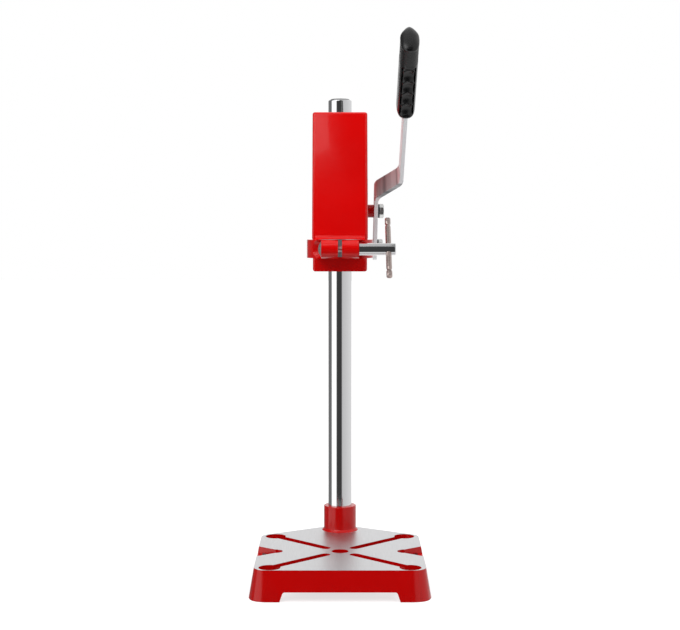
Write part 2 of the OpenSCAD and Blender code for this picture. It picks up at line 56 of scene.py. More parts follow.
joints = {j["name"]: j for j in frame["joints"]}
mm = 0.001
print("frame loaded:", len(nodes), "nodes")


def lowHigh(node):
    lo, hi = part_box(node)
    return np.array(lo), np.array(hi)


tableLow, tableHigh = lowHigh("base_casting")
columnLow, columnHigh = lowHigh("column_tube")
headLow, headHigh = lowHigh("head_casting")
columnAxis = (columnLow + columnHigh)/2
columnR = (columnHigh[0] - columnLow[0])/2
benchZ = tableLow[2]

# view, stage and light
view = {"eye": (0.0, -1.420, 0.330), "lensMm": 75.44, "filmMm": 36.0, "shiftY": -0.1397,
        "near": 0.05, "far": 60.0}


def makeCamera(v):
    data = bpy.data.cameras.new("view")
    data.lens, data.sensor_width = v["lensMm"], v["filmMm"]
    data.shift_y = v["shiftY"]
    data.clip_start, data.clip_end = v["near"], v["far"]
    cam = bpy.data.objects.new("view", data)
    cam.location = v["eye"]
    cam.rotation_euler = (math.pi/2, 0, 0)   # level, looking along +Y
    bpy.context.scene.collection.objects.link(cam)
    bpy.context.scene.camera = cam


# lamps are name: (watts, width and depth or a disk's size, place)
studio = {"floorSize": 14.0, "floorGrey": 0.42, "shadowFrom": 0.15, "shadowRadius": 0.55,
          "shadowLift": 0.70, "aimAt": (0.0, 0.02, 0.26),
          "lamps": {"key": (12.0, (1.3, 0.9), (-1.05, -1.75, 1.62)),
                    "top": (15.0, 1.6, (0.25, -0.2, 2.1)),
                    "fill": (6.0, 1.4, (1.5, -1.5, 1.3)),
                    "card": (4.5, (1.0, 0.9), (-0.56, -0.86, 1.34))}}


def areaLight(name, power, size, at, aim):
    data = bpy.data.lights.new(name, "AREA")
    data.energy = power
    if isinstance(size, tuple):
        data.shape = "RECTANGLE"
        data.size, data.size_y = size
    else:
        data.shape = "DISK"
        data.size = size
    light = bpy.data.objects.new(name, data)
    light.location = at
    light.rotation_euler = (Vector(aim) - Vector(at)).to_track_quat("-Z", "Y").to_euler()
    light.visible_glossy = name == "card"   # reflections come from the room and the gloss card
    bpy.context.scene.collection.objects.link(light)


def floorMaterial(s):
    # diffuse floor; straight to the eye it lifts to white away from the stand
    mat = bpy.data.materials.new("paleFloor")
    mat.use_nodes = True
    tree = mat.node_tree
    tree.nodes.clear()
    out = tree.nodes.new("ShaderNodeOutputMaterial")
    cloth = tree.nodes.new("ShaderNodeBsdfDiffuse")
    cloth.inputs["Color"].default_value = (s["floorGrey"],)*3 + (1,)
    glow = tree.nodes.new("ShaderNodeEmission")
    both = tree.nodes.new("ShaderNodeAddShader")
    lift = tree.nodes.new("ShaderNodeMapRange")
    lift.inputs["From Min"].default_value = s["shadowFrom"]
    lift.inputs["From Max"].default_value = s["shadowRadius"]
    lift.inputs["To Min"].default_value = s["shadowLift"]
    coord = tree.nodes.new("ShaderNodeTexCoord")
    far = tree.nodes.new("ShaderNodeVectorMath")
    far.operation = "LENGTH"
    path = tree.nodes.new("ShaderNodeLightPath")
    seen = tree.nodes.new("ShaderNodeMath")
    seen.operation = "MULTIPLY"
    tree.links.new(coord.outputs["Object"], far.inputs[0])
    tree.links.new(far.outputs["Value"], lift.inputs["Value"])
    tree.links.new(lift.outputs[0], seen.inputs[0])
    tree.links.new(path.outputs["Is Camera Ray"], seen.inputs[1])
    tree.links.new(seen.outputs[0], glow.inputs["Strength"])
    tree.links.new(cloth.outputs[0], both.inputs[0])
    tree.links.new(glow.outputs[0], both.inputs[1])
    tree.links.new(both.outputs[0], out.inputs["Surface"])
    return mat


def makeStage(s):
    half = s["floorSize"]/2
    mesh = bpy.data.meshes.new("studio_floor")
    mesh.from_pydata([(-half, -half, benchZ), (half, -half, benchZ), (half, half, benchZ),
                      (-half, half, benchZ)], [], [(0, 1, 2, 3)])
    floor = bpy.data.objects.new("studio_floor", mesh)
    bpy.context.scene.collection.objects.link(floor)
    floor.visible_glossy = False
    floor.data.materials.append(floorMaterial(s))
    for name, (power, size, at) in s["lamps"].items():
        areaLight(name, power, size, at, s["aimAt"])


# walls are the room's brightness by direction: degrees round from the camera, left is negative;
# above and below the walls, between the two slopes of "turn", come one even ceiling and floor
room = {"walls": [(-180, 1.0), (-163, 1.0), (-157, 0.20), (-92, 0.16), (-86, 1.25), (-38, 1.25),
                  (-31, 0.05), (15, 0.05), (22, 0.60), (110, 0.78), (157, 0.80), (163, 1.0),
                  (180, 1.0)],
        "most": 2.0, "turn": (0.74, 0.92), "ceiling": 0.28, "ground": 0.45}


def makeRoom(r):
    world = bpy.data.worlds.new("studioRoom")
    bpy.context.scene.world = world
    world.use_nodes = True
    tree = world.node_tree
    tree.nodes.clear()
    out = tree.nodes.new("ShaderNodeOutputWorld")
    mix = tree.nodes.new("ShaderNodeMixShader")
    lit = tree.nodes.new("ShaderNodeBackground")
    plain = tree.nodes.new("ShaderNodeBackground")
    plain.inputs["Color"].default_value = (1, 1, 1, 1)
    plain.inputs["Strength"].default_value = 1.0
    path = tree.nodes.new("ShaderNodeLightPath")
    coord = tree.nodes.new("ShaderNodeTexCoord")
    split = tree.nodes.new("ShaderNodeSeparateXYZ")
    flip = tree.nodes.new("ShaderNodeMath")
    flip.operation = "MULTIPLY"
    flip.inputs[1].default_value = -1.0
    turn = tree.nodes.new("ShaderNodeMath")
    turn.operation = "ARCTAN2"
    span = tree.nodes.new("ShaderNodeMapRange")
    span.inputs["From Min"].default_value = -math.pi
    span.inputs["From Max"].default_value = math.pi
    ramp = tree.nodes.new("ShaderNodeValToRGB")
    while len(ramp.color_ramp.elements) > 1:
        ramp.color_ramp.elements.remove(ramp.color_ramp.elements[0])
    for k, (angle, level) in enumerate(r["walls"]):
        along = (angle + 180)/360
        if k:
            stop = ramp.color_ramp.elements.new(along)
        else:
            stop = ramp.color_ramp.elements[0]
            stop.position = along
        stop.color = (level/r["most"],)*3 + (1,)
    rise = tree.nodes.new("ShaderNodeMapRange")
    rise.inputs["From Min"].default_value, rise.inputs["From Max"].default_value = r["turn"]
    ceiling = tree.nodes.new("ShaderNodeMix")
    ceiling.data_type = "RGBA"
    ceiling.inputs["B"].default_value = (r["ceiling"],)*3 + (1,)
    fall = tree.nodes.new("ShaderNodeMapRange")
    fall.inputs["From Min"].default_value = -r["turn"][0]
    fall.inputs["From Max"].default_value = -r["turn"][1]
    ground = tree.nodes.new("ShaderNodeMix")
    ground.data_type = "RGBA"
    ground.inputs["B"].default_value = (r["ground"],)*3 + (1,)
    lit.inputs["Strength"].default_value = r["most"]
    tree.links.new(coord.outputs["Generated"], split.inputs[0])
    tree.links.new(split.outputs["Y"], flip.inputs[0])
    tree.links.new(split.outputs["X"], turn.inputs[0])
    tree.links.new(flip.outputs[0], turn.inputs[1])
    tree.links.new(turn.outputs[0], span.inputs["Value"])
    tree.links.new(span.outputs[0], ramp.inputs["Fac"])
    tree.links.new(split.outputs["Z"], rise.inputs["Value"])
    tree.links.new(rise.outputs[0], ceiling.inputs["Factor"])
    tree.links.new(ramp.outputs["Color"], ceiling.inputs["A"])
    tree.links.new(split.outputs["Z"], fall.inputs["Value"])
    tree.links.new(fall.outputs[0], ground.inputs["Factor"])
    tree.links.new(ceiling.outputs["Result"], ground.inputs["A"])
    tree.links.new(ground.outputs["Result"], lit.inputs["Color"])
    tree.links.new(path.outputs["Is Camera Ray"], mix.inputs["Fac"])
    tree.links.new(lit.outputs[0], mix.inputs[1])
    tree.links.new(plain.outputs[0], mix.inputs[2])
    tree.links.new(mix.outputs[0], out.inputs["Surface"])


makeCamera(view)
makeStage(studio)
makeRoom(room)
bpy.context.scene.view_settings.view_transform = "Standard"
print("camera, floor and lights ready")


# node helpers and the shared effects
def addNode(tree, kind, inputs=None, **settings):
    node = tree.nodes.new("ShaderNode" + kind)
    for key, value in settings.items():
        setattr(node, key, value)
    for key, value in (inputs or {}).items():
        if isinstance(value, bpy.types.NodeSocket):
            tree.links.new(value, node.inputs[key])
        else:
            node.inputs[key].default_value = value
    return node


def newGroup(name, inputs, outputs):
    # group tree with named sockets; inputs are (name, kind, value)
    tree = bpy.data.node_groups.new(name, "ShaderNodeTree")
    for label, kind, value in inputs:
        sock = tree.interface.new_socket(name=label, in_out="INPUT",
                                         socket_type="NodeSocket" + kind)
        if value is not None:
            sock.default_value = value
    for label, kind in outputs:
        tree.interface.new_socket(name=label, in_out="OUTPUT", socket_type="NodeSocket" + kind)
    return tree, tree.nodes.new("NodeGroupInput"), tree.nodes.new("NodeGroupOutput")


def useGroup(tree, group, **values):
    node = tree.nodes.new("ShaderNodeGroup")
    node.node_tree = group
    for key, value in values.items():
        label = key.replace("_", " ")
        if isinstance(value, bpy.types.NodeSocket):
            tree.links.new(value, node.inputs[label])
        else:
            node.inputs[label].default_value = value
    return node


def makeSpread():
    # colour times (1 + amount * (noise - 0.5)), for slow variation over a surface
    tree, gin, gout = newGroup("toneSpread", [("Color", "Color", (0.5, 0.5, 0.5, 1)),
                                              ("Place", "Vector", None), ("Scale", "Float", 30.0),
                                              ("Amount", "Float", 0.1)], [("Color", "Color")])
    noise = addNode(tree, "TexNoise", {"Vector": gin.outputs["Place"],
                                       "Scale": gin.outputs["Scale"], "Detail": 3.0})
    off = addNode(tree, "Math", {0: noise.outputs["Fac"], 1: 0.5}, operation="SUBTRACT")
    much = addNode(tree, "Math", {0: off.outputs[0], 1: gin.outputs["Amount"], 2: 1.0},
                   operation="MULTIPLY_ADD")
    tint = addNode(tree, "VectorMath", {0: gin.outputs["Color"]}, operation="SCALE")
    tree.links.new(much.outputs[0], tint.inputs["Scale"])
    tree.links.new(tint.outputs[0], gout.inputs["Color"])
    return tree


def makeSmudge():
    # roughness between low and high by two noises: broad smears and fine handling marks
    tree, gin, gout = newGroup("smudges", [("Place", "Vector", None), ("Low", "Float", 0.2),
                                           ("High", "Float", 0.4)], [("Roughness", "Float")])
    broad = addNode(tree, "TexNoise", {"Vector": gin.outputs["Place"], "Scale": 38.0,
                                       "Detail": 4.0, "Distortion": 0.6})
    fine = addNode(tree, "TexNoise", {"Vector": gin.outputs["Place"], "Scale": 620.0,
                                      "Detail": 2.0})
    both = addNode(tree, "Math", {0: broad.outputs["Fac"], 1: fine.outputs["Fac"]}, operation="ADD")
    span = addNode(tree, "MapRange", {"Value": both.outputs[0], "From Min": 0.7, "From Max": 1.3,
                                      "To Min": gin.outputs["Low"], "To Max": gin.outputs["High"]})
    tree.links.new(span.outputs[0], gout.inputs["Roughness"])
    return tree


def makePeel():
    # height of a sprayed skin: fine orange peel on the slow waves of a casting
    tree, gin, gout = newGroup("orangePeel", [("Place", "Vector", None), ("Fine", "Float", 900.0),
                                              ("Wave", "Float", 60.0), ("Mix", "Float", 0.5)],
                               [("Height", "Float")])
    peel = addNode(tree, "TexNoise", {"Vector": gin.outputs["Place"], "Scale": gin.outputs["Fine"],
                                      "Detail": 1.0})
    wave = addNode(tree, "TexNoise", {"Vector": gin.outputs["Place"], "Scale": gin.outputs["Wave"],
                                      "Detail": 2.0})
    mix = addNode(tree, "Mix", {"Factor": gin.outputs["Mix"], 2: peel.outputs["Fac"],
                                3: wave.outputs["Fac"]})
    tree.links.new(mix.outputs[0], gout.inputs["Height"])
    return tree


def makeLines():
    # fine parallel tool lines: noise on a place squeezed by the Stretch vector
    tree, gin, gout = newGroup("toolLines", [("Place", "Vector", None),
                                             ("Stretch", "Vector", (1.0, 1.0, 1.0)),
                                             ("Contrast", "Float", 0.5)],
                               [("Mask", "Float"), ("Height", "Float")])
    squeeze = addNode(tree, "VectorMath", {0: gin.outputs["Place"], 1: gin.outputs["Stretch"]},
                      operation="MULTIPLY")
    noise = addNode(tree, "TexNoise", {"Vector": squeeze.outputs[0], "Scale": 1.0, "Detail": 5.0,
                                       "Roughness": 0.65})
    centre = addNode(tree, "Math", {0: noise.outputs["Fac"], 1: 0.5}, operation="SUBTRACT")
    mask = addNode(tree, "Math", {0: centre.outputs[0], 1: gin.outputs["Contrast"], 2: 0.5},
                   operation="MULTIPLY_ADD", use_clamp=True)
    tree.links.new(mask.outputs[0], gout.inputs["Mask"])
    tree.links.new(noise.outputs["Fac"], gout.inputs["Height"])
    return tree


spreadGroup, smudgeGroup = makeSpread(), makeSmudge()
peelGroup, linesGroup = makePeel(), makeLines()
print("shared effects built")


def newMaterial(name):
    mat = bpy.data.materials.new(name)
    mat.use_nodes = True
    tree = mat.node_tree
    return mat, tree, tree.nodes["Principled BSDF"], addNode(tree, "TexCoord").outputs["Object"]


def bumpInto(tree, bsdf, height, distance, strength=1.0):
    bump = addNode(tree, "Bump", {"Height": height, "Distance": distance, "Strength": strength})
    tree.links.new(bump.outputs["Normal"], bsdf.inputs["Normal"])


enamel = {"red": (0.66, 0.0004, 0.0003), "spreadScale": 22.0, "spread": 0.10,
          "rough": (0.15, 0.23), "specular": 0.26, "coat": 0.30, "coatRough": 0.05,
          "peelMm": 0.010, "peelFine": 700.0, "peelWave": 45.0, "waveShare": 0.45}


def enamelParts(tree, bsdf, place, e):
    bsdf.inputs["Specular IOR Level"].default_value = e["specular"]
    bsdf.inputs["Coat Weight"].default_value = e["coat"]
    bsdf.inputs["Coat Roughness"].default_value = e["coatRough"]
    tone = useGroup(tree, spreadGroup, Color=e["red"] + (1,), Place=place, Scale=e["spreadScale"],
                    Amount=e["spread"])
    rough = useGroup(tree, smudgeGroup, Place=place, Low=e["rough"][0], High=e["rough"][1])
    peel = useGroup(tree, peelGroup, Place=place, Fine=e["peelFine"], Wave=e["peelWave"],
                    Mix=e["waveShare"])
    return tone.outputs["Color"], rough.outputs["Roughness"], peel.outputs["Height"]


bore = {"grey": (0.60, 0.60, 0.61), "rough": 0.34, "drillR": 21.62*mm, "columnR": 12.75*mm,
        "rings": (40.0, 40.0, 3000.0), "contrast": 1.2, "shade": (0.8, 1.1)}


def insideBore(tree, place, axisPoint, r):
    # 1 within r of an upright axis, 0 outside
    flat = addNode(tree, "VectorMath", {0: place, 1: (1.0, 1.0, 0.0)}, operation="MULTIPLY")
    away = addNode(tree, "VectorMath", {0: flat.outputs[0], 1: axisPoint}, operation="DISTANCE")
    return addNode(tree, "Math", {0: away.outputs["Value"], 1: r}, operation="LESS_THAN").outputs[0]


def redEnamel(e, b):
    # red enamel outside, bare bored metal where the drill and the column go
    mat, tree, bsdf, place = newMaterial("redEnamel")
    tone, rough, height = enamelParts(tree, bsdf, place, e)
    drill = insideBore(tree, place, (0, 0, 0), b["drillR"])
    column = insideBore(tree, place, (columnAxis[0], columnAxis[1], 0), b["columnR"])
    bare = addNode(tree, "Math", {0: drill, 1: column}, operation="MAXIMUM").outputs[0]
    rings = useGroup(tree, linesGroup, Place=place, Stretch=b["rings"], Contrast=b["contrast"])
    shade = addNode(tree, "MapRange", {"Value": rings.outputs["Mask"], "To Min": b["shade"][0],
                                       "To Max": b["shade"][1]})
    metalTone = addNode(tree, "VectorMath", {0: b["grey"]}, operation="SCALE")
    tree.links.new(shade.outputs[0], metalTone.inputs["Scale"])
    color = addNode(tree, "Mix", {"Factor": bare, "A": tone, "B": metalTone.outputs[0]},
                    data_type="RGBA")
    roughMix = addNode(tree, "Mix", {"Factor": bare, 2: rough, 3: b["rough"]})
    coat = addNode(tree, "Mix", {"Factor": bare, 2: e["coat"], 3: 0.0})
    tree.links.new(color.outputs["Result"], bsdf.inputs["Base Color"])
    tree.links.new(roughMix.outputs[0], bsdf.inputs["Roughness"])
    tree.links.new(coat.outputs[0], bsdf.inputs["Coat Weight"])
    tree.links.new(bare, bsdf.inputs["Metallic"])
    bumpInto(tree, bsdf, height, e["peelMm"]*mm)
    return mat


# painted shade: the base's red is a darker copy of the head's enamel red, standing in for the shade
# on its skirt
table = {"red": (0.53, 0.0003, 0.0002), "grey": (0.74, 0.74, 0.75),
         "lineGrey": (0.62, 0.62, 0.63), "lines": (2600.0, 30.0, 30.0), "contrast": 1.6,
         "rough": (0.30, 0.44), "socketClear": 19.3*mm, "skin": 0.15*mm}


def tableEnamel(e, t):
    # red enamel, with bare ground metal where the height is the table's top face
    mat, tree, bsdf, place = newMaterial("tableEnamel")
    tone, rough, height = enamelParts(tree, bsdf, place, e)
    split = addNode(tree, "SeparateXYZ", {0: place})
    up = addNode(tree, "Math", {0: split.outputs["Z"], 1: -t["skin"]}, operation="GREATER_THAN")
    down = addNode(tree, "Math", {0: split.outputs["Z"], 1: t["skin"]}, operation="LESS_THAN")
    fromAxis = addNode(tree, "VectorMath", {0: place, 1: (0, columnAxis[1], 0)},
                       operation="DISTANCE")
    clear = addNode(tree, "Math", {0: fromAxis.outputs["Value"], 1: t["socketClear"]},
                    operation="GREATER_THAN")
    flat = addNode(tree, "Math", {0: up.outputs[0], 1: down.outputs[0]}, operation="MULTIPLY")
    bare = addNode(tree, "Math", {0: flat.outputs[0], 1: clear.outputs[0]}, operation="MULTIPLY")
    lines = useGroup(tree, linesGroup, Place=place, Stretch=t["lines"], Contrast=t["contrast"])
    ground = addNode(tree, "Mix", {"Factor": lines.outputs["Mask"], "A": t["lineGrey"] + (1,),
                                   "B": t["grey"] + (1,)}, data_type="RGBA")
    groundRough = addNode(tree, "MapRange", {"Value": lines.outputs["Mask"],
                                             "To Min": t["rough"][1], "To Max": t["rough"][0]})
    color = addNode(tree, "Mix", {"Factor": bare.outputs[0], "A": tone,
                                  "B": ground.outputs["Result"]}, data_type="RGBA")
    roughMix = addNode(tree, "Mix", {"Factor": bare.outputs[0], 2: rough,
                                     3: groundRough.outputs[0]})
    coat = addNode(tree, "Math", {0: 1.0, 1: bare.outputs[0]}, operation="SUBTRACT")
    coatLess = addNode(tree, "Math", {0: coat.outputs[0], 1: e["coat"]}, operation="MULTIPLY")
    relief = addNode(tree, "Mix", {"Factor": bare.outputs[0], 2: height,
                                   3: lines.outputs["Height"]})
    tree.links.new(color.outputs["Result"], bsdf.inputs["Base Color"])
    tree.links.new(roughMix.outputs[0], bsdf.inputs["Roughness"])
    tree.links.new(bare.outputs[0], bsdf.inputs["Metallic"])
    tree.links.new(coatLess.outputs[0], bsdf.inputs["Coat Weight"])
    bumpInto(tree, bsdf, relief.outputs[0], e["peelMm"]*mm)
    return mat


def metal(name, color, rough, spread, reliefMm, lines=None, contrast=0.6, lineShade=(0.86, 1.04),
          spreadScale=60.0, metallic=1.0, grainScale=1400.0):
    # bare or plated metal: tone spread, smudged roughness and, if asked, tool lines
    mat, tree, bsdf, place = newMaterial(name)
    bsdf.inputs["Metallic"].default_value = metallic
    tone = useGroup(tree, spreadGroup, Color=color + (1,), Place=place, Scale=spreadScale,
                    Amount=spread)
    smear = useGroup(tree, smudgeGroup, Place=place, Low=rough[0], High=rough[1])
    if lines:
        marks = useGroup(tree, linesGroup, Place=place, Stretch=lines, Contrast=contrast)
        shade = addNode(tree, "MapRange", {"Value": marks.outputs["Mask"], "To Min": lineShade[0],
                                           "To Max": lineShade[1]})
        tint = addNode(tree, "VectorMath", {0: tone.outputs["Color"]}, operation="SCALE")
        tree.links.new(shade.outputs[0], tint.inputs["Scale"])
        tree.links.new(tint.outputs[0], bsdf.inputs["Base Color"])
        bumpInto(tree, bsdf, marks.outputs["Height"], reliefMm*mm)
    else:
        tree.links.new(tone.outputs["Color"], bsdf.inputs["Base Color"])
        grain = addNode(tree, "TexNoise", {"Vector": place, "Scale": grainScale, "Detail": 2.0})
        bumpInto(tree, bsdf, grain.outputs["Fac"], reliefMm*mm)
    tree.links.new(smear.outputs["Roughness"], bsdf.inputs["Roughness"])
    return mat


def plastic(name, color, rough, grainMm, spread=0.25, spreadScale=160.0, grainScale=1900.0):
    # moulded plastic with a fine spark-eroded grain
    mat, tree, bsdf, place = newMaterial(name)
    tone = useGroup(tree, spreadGroup, Color=color + (1,), Place=place, Scale=spreadScale,
                    Amount=spread)
    smear = useGroup(tree, smudgeGroup, Place=place, Low=rough[0], High=rough[1])
    grain = addNode(tree, "TexNoise", {"Vector": place, "Scale": grainScale, "Detail": 3.0,
                                       "Roughness": 0.6})
    tree.links.new(tone.outputs["Color"], bsdf.inputs["Base Color"])
    tree.links.new(smear.outputs["Roughness"], bsdf.inputs["Roughness"])
    bumpInto(tree, bsdf, grain.outputs["Fac"], grainMm*mm)
    return mat


metals = {
    "tubeChrome": {"color": (0.86, 0.86, 0.87), "rough": (0.05, 0.09), "spread": 0.02,
                   "reliefMm": 0.0004, "lines": (1400.0, 1400.0, 9.0), "contrast": 0.3},
    "barrelChrome": {"color": (0.83, 0.83, 0.84), "rough": (0.06, 0.12), "spread": 0.03,
                     "reliefMm": 0.0006, "lines": (2200.0, 60.0, 60.0), "contrast": 0.35},
    "zincPlate": {"color": (0.78, 0.78, 0.77), "rough": (0.24, 0.38), "spread": 0.10,
                  "reliefMm": 0.004, "spreadScale": 90.0},
    "zincBar": {"color": (0.84, 0.87, 0.885), "rough": (0.30, 0.42), "spread": 0.06,
                "reliefMm": 0.0004, "metallic": 0.62, "grainScale": 260.0},
    "blackSteel": {"color": (0.10, 0.10, 0.11), "rough": (0.35, 0.5), "spread": 0.2,
                   "reliefMm": 0.006},
    "springSteel": {"color": (0.20, 0.20, 0.21), "rough": (0.28, 0.42), "spread": 0.15,
                    "reliefMm": 0.003},
    "bareSteel": {"color": (0.52, 0.42, 0.39), "rough": (0.22, 0.44), "spread": 0.45,
                  "reliefMm": 0.006, "lines": (70.0, 240.0, 240.0), "contrast": 0.8,
                  "spreadScale": 140.0},
    "blackIron": {"color": (0.055, 0.055, 0.057), "rough": (0.42, 0.62), "spread": 0.35,
                  "reliefMm": 0.02, "spreadScale": 220.0}}
plastics = {"gripPlastic": {"color": (0.0045, 0.0045, 0.0050), "rough": (0.20, 0.32),
                            "grainMm": 0.008},
            "capPlastic": {"color": (0.02, 0.02, 0.022), "rough": (0.4, 0.55), "grainMm": 0.01}}

paint = redEnamel(enamel, bore)
# the base gets the darker red, a painted shade copy of the head's enamel
shadedTablePaint = tableEnamel({**enamel, "red": table["red"]}, table)
(tubeChrome, barrelChrome, zincPlate, zincBar, blackSteel, springSteel, bareSteel,
 blackIron) = [metal(name, **values) for name, values in metals.items()]
gripPlastic, capPlastic = [plastic(name, **values) for name, values in plastics.items()]
print("materials built")


# mesh helpers
weld = {"surfaceM": 2e-7, "thinM": 1e-7, "nodeM": 1e-6}
edges = {"flatDeg": 0.6, "sharpDeg": 32.0, "foldDeg": 25.0}


def gridFaces(rows, cols, wrapRows=False, wrapCols=False):
    # four corners of every cell of a rows x cols grid of points
    i = np.arange(rows if wrapRows else rows - 1)
    j = np.arange(cols if wrapCols else cols - 1)
    i, j = np.meshgrid(i, j, indexing="ij")
    iNext, jNext = (i + 1) % rows, (j + 1) % cols
    return np.stack([i*cols + j, i*cols + jNext, iNext*cols + jNext, iNext*cols + j],
                    axis=-1).reshape(-1, 4)


def surfaceMesh(name, points, faces, mat, sharpDeg=35.0):
    # points (n, 3) and quads (m, 4) into a closed mesh with outward faces
    mesh = bpy.data.meshes.new(name)
    mesh.from_pydata(points.reshape(-1, 3).tolist(), [], faces.tolist())
    bm = bmesh.new()
    bm.from_mesh(mesh)
    bmesh.ops.remove_doubles(bm, verts=bm.verts, dist=weld["surfaceM"])
    bmesh.ops.dissolve_degenerate(bm, dist=weld["thinM"], edges=bm.edges)
    bmesh.ops.recalc_face_normals(bm, faces=bm.faces)
    bm.to_mesh(mesh)
    bm.free()
    mesh.polygons.foreach_set("use_smooth", np.ones(len(mesh.polygons), dtype=bool))
    mesh.set_sharp_from_angle(angle=math.radians(sharpDeg))
    mesh.materials.append(mat)
    piece = bpy.data.objects.new(name, mesh)
    bpy.context.scene.collection.objects.link(piece)
    return piece


def attach(piece, body, slot, *replaced):
    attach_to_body(piece, body)
    if replaced:
        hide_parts(*replaced)
    return piece


def axisFrame(axis):
    # two unit vectors square to the axis, and the axis
    w = np.array(axis, float)/np.linalg.norm(axis)
    side = np.array((0, 0, 1.0)) if abs(w[2]) < 0.9 else np.array((1.0, 0, 0))
    u = side - w*(side @ w)
    u /= np.linalg.norm(u)
    return u, np.cross(w, u), w


def heldEnds(profile, gap=0.12*mm):
    # an extra ring close to each end of every long straight run, so its shading stays flat
    a, b = profile[:-1], profile[1:]
    run = np.linalg.norm(b - a, axis=1)
    long = run > 8*gap
    step = (b - a)/np.maximum(run, 1e-9)[:, None]*gap
    near = np.where(long[:, None], a + step, np.nan)
    far = np.where(long[:, None], b - step, np.nan)
    rows = np.stack([a, near, far], axis=1).reshape(-1, 2)
    rows = rows[~np.isnan(rows[:, 0])]
    return np.vstack([rows, profile[-1:]])


def turned(name, profile, at, axis, mat, segments=96, radius=None, sharpDeg=35.0):
    # turned piece: point(s, a) = at + r(s, a)(u cos a + v sin a) + h(s) w
    u, v, w = axisFrame(axis)
    profile = heldEnds(np.array(profile, float)) if radius is None else np.array(profile, float)
    a = np.linspace(0, 2*np.pi, segments, endpoint=False)
    r = np.repeat(profile[:, :1], segments, axis=1)
    h = np.repeat(profile[:, 1:], segments, axis=1)
    if radius is not None:
        r, h = radius(r, h, a[None, :])
    ring = (r*np.cos(a))[..., None]*u + (r*np.sin(a))[..., None]*v + h[..., None]*w
    return surfaceMesh(name, np.array(at) + ring, gridFaces(len(profile), segments, False, True),
                       mat, sharpDeg)


def joined(name, parts):
    # several meshes as one piece, each with its own material
    bm = bmesh.new()
    mats = []
    for part in parts:
        k = len(mats)
        mats.append(part.data.materials[0])
        before = len(bm.faces)
        bm.from_mesh(part.data)
        bm.faces.ensure_lookup_table()
        for face in bm.faces[before:]:
            face.material_index = k
        bpy.data.objects.remove(part)
    mesh = bpy.data.meshes.new(name)
    bm.to_mesh(mesh)
    bm.free()
    for m in mats:
        mesh.materials.append(m)
    piece = bpy.data.objects.new(name, mesh)
    bpy.context.scene.collection.objects.link(piece)
    return piece


def softened(node, name, mat, edgeMm, bigMm=0.0, bigRule=None, segments=3, bigSegments=5):
    # copy of a CAD node, merged, with its flat faces made whole and its edges rounded
    bm = bmesh.new()
    bm.from_mesh(nodes[node].data)
    bmesh.ops.remove_doubles(bm, verts=bm.verts, dist=weld["nodeM"])
    bmesh.ops.dissolve_limit(bm, angle_limit=math.radians(edges["flatDeg"]), verts=bm.verts,
                             edges=bm.edges, use_dissolve_boundaries=False)
    if bigRule:
        bm.normal_update()
        big = [e for e in bm.edges if len(e.link_faces) == 2
               and e.calc_face_angle(0) > math.radians(edges["foldDeg"]) and bigRule(e)]
        bmesh.ops.bevel(bm, geom=big, offset=bigMm*mm, offset_type="OFFSET", profile=0.5,
                        segments=bigSegments, affect="EDGES", clamp_overlap=True)
    mesh = bpy.data.meshes.new(name)
    bm.to_mesh(mesh)
    bm.free()
    mesh.polygons.foreach_set("use_smooth", np.ones(len(mesh.polygons), dtype=bool))
    mesh.set_sharp_from_angle(angle=math.radians(edges["sharpDeg"]))
    mesh.materials.append(mat)
    piece = bpy.data.objects.new(name, mesh)
    bpy.context.scene.collection.objects.link(piece)
    if edgeMm:
        bevel = piece.modifiers.new("edges", "BEVEL")
        bevel.width, bevel.segments = edgeMm*mm, segments
        bevel.limit_method, bevel.angle_limit = "ANGLE", math.radians(edges["sharpDeg"])
        bevel.harden_normals = True
    return piece


# castings; "in" is how far the head's sides stand inside its bosses
headCast = {"edgeMm": 0.5, "cornerMm": 2.6, "in": 7*mm, "long": 12*mm, "slack": 0.3*mm,
            "behind": 4*mm}
baseCast = {"edgeMm": 0.5, "cornerMm": 2.2, "rimOut": 3*mm, "footIn": 2*mm, "slack": 0.2*mm}


def bodyEdges(e):
    # the long outside edges of the head's body: front corners, top and bottom
    a, b = e.verts[0].co, e.verts[1].co
    mid = (a + b)/2
    long = (a - b).length > headCast["long"]
    outside = abs(abs(mid.x) - headHigh[0] + headCast["in"]) < headCast["slack"]
    top = min(a.z, b.z) > headHigh[2] - headCast["slack"] and mid.y < columnAxis[1]
    back = mid.y > columnAxis[1] + headCast["behind"]
    return long and (outside or top) and not back


def baseEdges(e):
    # the socket's outer rim and the foot pads' outer edges
    a, b = e.verts[0].co, e.verts[1].co
    mid = (a + b)/2
    fromColumn = math.hypot(mid.x - columnAxis[0], mid.y - columnAxis[1])
    rim = min(a.z, b.z) > tableHigh[2] - baseCast["slack"] \
        and fromColumn > columnR + baseCast["rimOut"]
    low = max(a.z, b.z) < benchZ + baseCast["slack"]
    outer = abs(mid.x) > tableHigh[0] - baseCast["footIn"] \
        or mid.y < tableLow[1] + baseCast["footIn"]
    return rim or (low and outer)


baseBody = softened("base_casting", "base_body", shadedTablePaint, baseCast["edgeMm"],
                    baseCast["cornerMm"], baseEdges)
attach(baseBody, "base", "red_casting", "base_casting")
headBody = softened("head_casting", "head_body", paint, headCast["edgeMm"],
                    headCast["cornerMm"], bodyEdges)
attach(headBody, "head", "red_casting", "head_casting")
print("castings rounded")

# column
tube = {"chamfer": 1.4*mm, "wall": 2.0*mm, "segments": 256}


def makeColumn(t):
    z0, z1, r, c = columnLow[2], columnHigh[2], columnR, t["chamfer"]
    inner = r - t["wall"]
    profile = [(inner, z0), (r - c, z0), (r, z0 + c), (r, z1 - c)]
    profile += [(r - 0.15*c, z1 - 0.6*c), (r - 0.6*c, z1 - 0.12*c), (r - c, z1), (inner, z1),
                (inner, z0)]
    at = (columnAxis[0], columnAxis[1], 0)
    return turned("column_shaft", profile, at, (0, 0, 1), tubeChrome, t["segments"])


